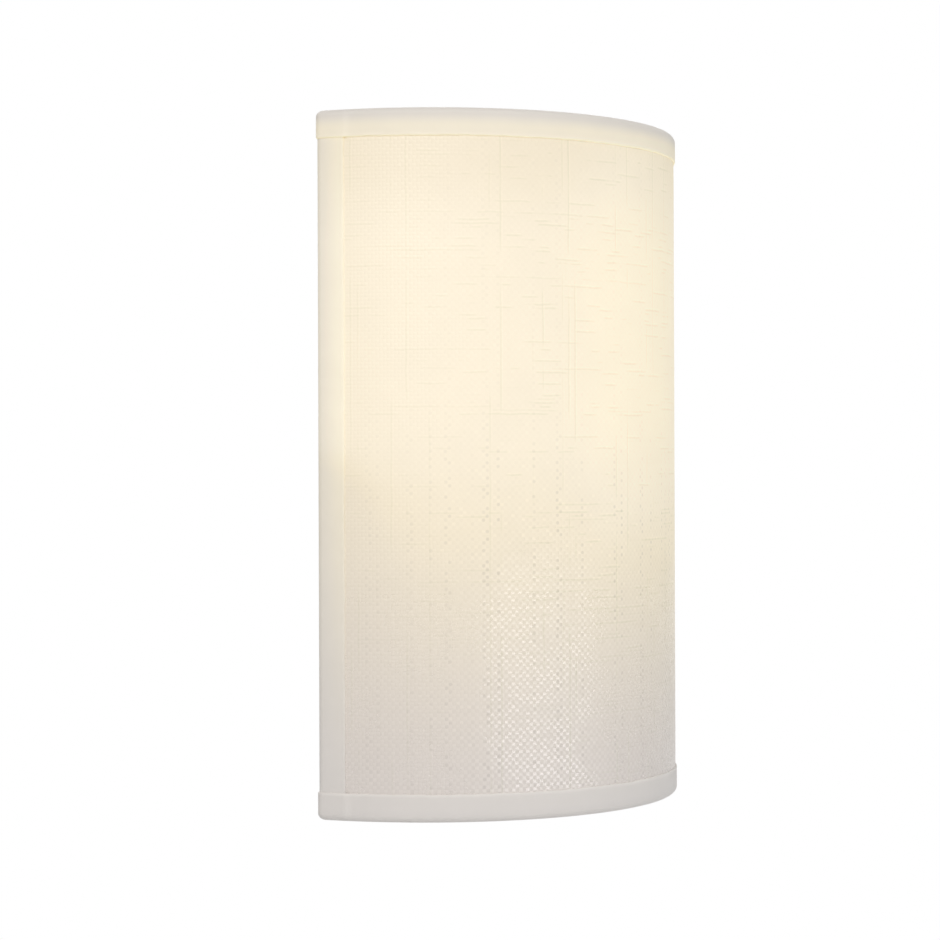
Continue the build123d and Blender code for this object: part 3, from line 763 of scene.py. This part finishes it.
def tape_shell(name, stations, rows, place, last_turn, material):
    """Sweep the rows of a tape through its stations as a closed shell, up to the turn that each stretch
    allows. The free edge follows its wander."""
    across, count = len(rows), len(stations) * len(rows)
    points, flat, faces = [], [], []
    for side in ("outside", "inside"):
        for station in stations:
            for row in rows:
                radius, reach = getattr(row, side)
                reach += station.shift * share(-reach / wander_reach)
                radius += station.over * max(0.0, cos(row.turn)) + station.puff * (side == "outside")
                points.append(place(radius, reach, station))
                flat.append((station.at, row.way))
    cells = set()
    for s in range(len(stations) - 1):
        limit = last_turn(stations[s], stations[s + 1]) + turn_slack
        cells |= {(s, k) for k in range(across - 1) if rows[k + 1].turn <= limit}
    for s, k in sorted(cells):
        ring = ((s, k), (s + 1, k), (s + 1, k + 1), (s, k + 1))
        beside = ((s, k - 1), (s + 1, k), (s, k + 1), (s - 1, k))
        numbers = [a * across + b for a, b in ring]
        faces.append(numbers)
        faces.append([number + count for number in reversed(numbers)])
        for a, b, next_cell in zip(numbers, numbers[1:] + numbers[:1], beside):
            if next_cell not in cells:
                faces.append((a, a + count, b + count, b))
    return make_piece(name, points, faces, material, flat)


def hem_tape(name, side, material):
    """Tape over the top or bottom edge, measured along the cloth, with its ends turned round the posts."""
    end = tape_in * half_angle
    phase = 1.3 if side > 0 else 2.9
    edge_waves, puff_waves = (0.047, 0.019, 0.0083), (0.031, 0.013, 0.0059)
    drum_steps, corner_steps = 260, 14

    def place(radius, reach, station):
        z = side * (ring_z + reach)
        if not station.turn:
            return on_drum(radius, station.at / tape_in, z)
        way = 1 if station.at > 0 else -1
        around = way * (half_angle + station.turn)
        outward = Vector((sin(around), -cos(around), 0.0))
        return on_drum(roll_at, way * half_angle, z) + outward * (radius - roll_at)

    def last_turn(first, second):
        return pi / 2 if first.turn or second.turn else pi + tuck_turn

    stations = []
    for i in range(drum_steps + 1):
        at = end * (2 * i / drum_steps - 1)
        from_end = end - abs(at)
        calm = share(from_end / wander_ease)
        shift = edge_wander * ripple(at, edge_waves, phase) * calm
        puff = hem_puff * ripple(at, puff_waves, phase + 2.0) * calm
        rise = share((side_leg + lift_over - from_end) / lift_over)
        stations.append(Station(at, 0.0, shift, puff, corner_lift * rise * rise * (3 - 2 * rise)))
    for way in (-1, 1):
        turns = [corner_turn * i / corner_steps for i in range(1, corner_steps + 1)]
        bend = [Station(way * (end + roll_r * turn), turn, 0.0, 0.0, corner_lift) for turn in turns]
        stations = stations + bend if way > 0 else bend[::-1] + stations
    return tape_shell(name, stations, tape_rows(hem_leg), place, last_turn, material)


def side_tape(name, side, material):
    """Tape round an upright edge, cut back where the shade's tab passes to its post and under the top and
    bottom tapes."""
    tangent = Vector((cos(half_angle), sin(half_angle), 0.0))
    phase = 0.7 if side > 0 else 4.1
    edge_waves, puff_waves = (0.053, 0.021, 0.0091), (0.029, 0.012, 0.0067)
    notch = (tab_low.z - notch_clear, tab_high.z + notch_clear)
    spacing = 1.5 * MM

    def place(radius, reach, station):
        on_cloth = on_drum(radius, half_angle + min(reach, 0.0) / tape_in, station.at)
        point = on_cloth + tangent * max(reach, 0.0)
        point.x *= side
        return point

    def last_turn(first, second):
        middle = (first.at + second.at) / 2
        if abs(middle) > hem_z:
            return corner_turn
        return notch_turn if notch[0] < middle < notch[1] else pi + tuck_turn

    heights = [-side_end]
    for stop in (-hem_z, *notch, hem_z, side_end):
        start = heights[-1]
        steps = max(2, round((stop - start) / spacing))
        heights += [start + (stop - start) * i / steps for i in range(1, steps + 1)]
    stations = []
    for at in heights:
        calm = share((hem_z - abs(at)) / wander_ease)
        shift = edge_wander * ripple(at, edge_waves, phase) * calm
        puff = side_puff * ripple(at, puff_waves, phase + 1.0) * calm
        stations.append(Station(at, 0.0, shift, puff, 0.0))
    return tape_shell(name, stations, tape_rows(side_leg), place, last_turn, material)


def screw_cap(material):
    """The bulb's cap with its rolled thread, inside the space of the plain cap."""
    outer = (cap_high.x - cap_low.x) / 2
    centre = (cap_low + cap_high) / 2
    end_r = (insulator_high.x - insulator_low.x) / 2
    taper = outer - end_r
    pitch, thread_depth, rim = 3.63 * MM, 0.75 * MM, 2.2 * MM
    turns, rows = 72, 84
    points = []
    for j in range(rows + 1):
        z = cap_low.z + (cap_high.z - cap_low.z) * j / rows
        up, down = z - cap_low.z, cap_high.z - z
        shown = share((up - taper) / rim) * share((down - rim) / rim)
        body = end_r + taper * sin(min(1.0, up / taper) * pi / 2)
        for i in range(turns):
            angle = tau * i / turns
            wave = 0.5 - 0.5 * cos(tau * z / pitch - angle)
            radius = body - thread_depth * wave * shown
            points.append(Vector((centre.x + radius * cos(angle), centre.y + radius * sin(angle), z)))
    faces = []
    for j in range(rows):
        for i in range(turns):
            m = (i + 1) % turns
            faces.append((j * turns + i, j * turns + m, (j + 1) * turns + m, (j + 1) * turns + i))
    faces.append(tuple(range(turns - 1, -1, -1)))
    faces.append(tuple(rows * turns + i for i in range(turns)))
    return make_piece("bulb_screw_cap", points, faces, material)


def dress_nodes(materials):
    """Give each node of the solids the finish of its slot."""
    slot_of = {row["node"]: row["material_slot"] for row in frame["record"]["subparts"]}
    for name, node in frame["nodes"].items():
        material = materials.get(slot_of[name])
        if material:
            node.data.materials.clear()
            node.data.materials.append(material)


def dress_shade():
    """Put the cloth and its four tapes in place of their solids."""
    linen = linen_material()
    # painted highlight at the hem tapes' turned edge, painted shade at the side tapes' turned edge and on
    # every roll
    tape = tape_material(
        "hem_tape",
        leg=hem_leg,
        painted_edge_shading=1.05,
        fold_light=0.5,
        light_from=-5.5 * MM,
        edge_light=0.90,
        roll_light=0.15,
        painted_roll_shade=0.97,
    )
    upright_tape = tape_material(
        "side_tape",
        leg=side_leg,
        painted_edge_shading=0.98,
        fold_light=0.0,
        light_from=-9.5 * MM,
        edge_light=1.05,
        roll_light=0.60,
        painted_roll_shade=0.99,
    )
    panel = linen_panel(linen)
    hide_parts("shade_cloth")
    tapes = {
        "top_hem": hem_tape("top_hem_tape", 1, tape),
        "bottom_hem": hem_tape("bottom_hem_tape", -1, tape),
        "right_hem": side_tape("right_hem_tape", 1, upright_tape),
        "left_hem": side_tape("left_hem_tape", -1, upright_tape),
    }
    for node, piece in tapes.items():
        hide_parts(node)
        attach(piece, "shade")
    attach(panel, "shade")


def dress_bulb(materials):
    """Put the threaded cap in place of the plain one."""
    cap = screw_cap(materials["bulb_metal"])
    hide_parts("bulb_cap")
    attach(cap, "bulb")


# Stage


def white_for_camera(tree):
    """1 for rays that show the background: straight ones, mirrored ones and those through glass."""
    path = tree.nodes.new("ShaderNodeLightPath")
    total = path.outputs["Is Camera Ray"]
    for name in ("Is Glossy Ray", "Is Transmission Ray"):
        either = tree.nodes.new("ShaderNodeMath")
        either.operation = "MAXIMUM"
        tree.links.new(total, either.inputs[0])
        tree.links.new(path.outputs[name], either.inputs[1])
        total = either.outputs[0]
    return total


def make_world():
    """Plain soft light from all round, and a white background."""
    world = bpy.data.worlds.new("studio")
    bpy.context.scene.world = world
    world.use_nodes = True
    tree = world.node_tree
    background = tree.nodes["Background"]
    background.inputs["Color"].default_value = (*white, 1.0)
    strength = tree.nodes.new("ShaderNodeMapRange")
    strength.inputs["To Min"].default_value = world_light
    strength.inputs["To Max"].default_value = 1.0
    tree.links.new(white_for_camera(tree), strength.inputs["Value"])
    tree.links.new(strength.outputs[0], background.inputs["Strength"])


def make_floor():
    """Pale floor that keeps its shading near the lamp and turns white further off."""
    n = Nodes("floor")
    x, y, _ = n.split(n.place())
    away = n.math("SQRT", n.math("ADD", n.times(x, x), n.times(y, y)))
    plain = n.smooth(away, floor_near, floor_far, floor_white, 1.0)
    tone = about(n, n.noise(n.place(), floor_cloud), spread=0.01)
    n.set(Base_Color=n.shade(floor_colour, tone), Roughness=0.9)
    glow_white = n.add("ShaderNodeEmission")
    mix = n.add("ShaderNodeMixShader")
    n.feed(n.times(white_for_camera(n.tree), plain), mix.inputs[0])
    n.feed(n.shader.outputs[0], mix.inputs[1])
    n.feed(glow_white.outputs[0], mix.inputs[2])
    n.feed(mix.outputs[0], n.output.inputs["Surface"])
    ways = ((-1, -1), (1, -1), (1, 1), (-1, 1))
    corners = [Vector((a * floor_half, b * floor_half, floor_z)) for a, b in ways]
    make_piece("floor", corners, [(0, 1, 2, 3)], n.material)


def toward(azimuth, elevation):
    """The way out from the lamp at an azimuth from its front and an elevation."""
    return Vector((sin(azimuth) * cos(elevation), -cos(azimuth) * cos(elevation), sin(elevation)))


def soft_light(lamp):
    """Rectangular lamp, of the given width and height, that faces the origin."""
    data = bpy.data.lights.new(lamp.name, "AREA")
    data.shape = "RECTANGLE"
    data.size, data.size_y = lamp.size
    data.energy = lamp.power
    data.color = lamp.colour
    light = bpy.data.objects.new(lamp.name, data)
    light.location = toward(radians(lamp.azimuth), radians(lamp.elevation)) * lamp.distance
    light.rotation_mode = "QUATERNION"
    light.rotation_quaternion = (-light.location).to_track_quat("-Z", "Y")
    bpy.context.scene.collection.objects.link(light)


def make_camera():
    """The photograph's view: level with the lamp's middle, with the frame shifted to the photograph's."""
    data = bpy.data.cameras.new("camera")
    data.sensor_width = sensor
    data.lens = sensor * focal_px / photo_px
    data.shift_x = (photo_px / 2 - centre_px[0]) / photo_px
    data.shift_y = -(photo_px / 2 - centre_px[1]) / photo_px
    camera = bpy.data.objects.new("camera", data)
    camera.location = toward(camera_azimuth, 0.0) * camera_distance
    camera.rotation_mode = "QUATERNION"
    level = (-camera.location).to_track_quat("-Z", "Y")
    camera.rotation_quaternion = level @ Quaternion((0.0, 0.0, 1.0), -camera_roll)
    bpy.context.scene.collection.objects.link(camera)
    bpy.context.scene.camera = camera


materials = node_materials()
dress_nodes(materials)
dress_shade()
dress_bulb(materials)
make_world()
make_floor()
for lamp in lamps:
    soft_light(lamp)
make_camera()
bpy.context.scene.view_settings.view_transform = "Standard"
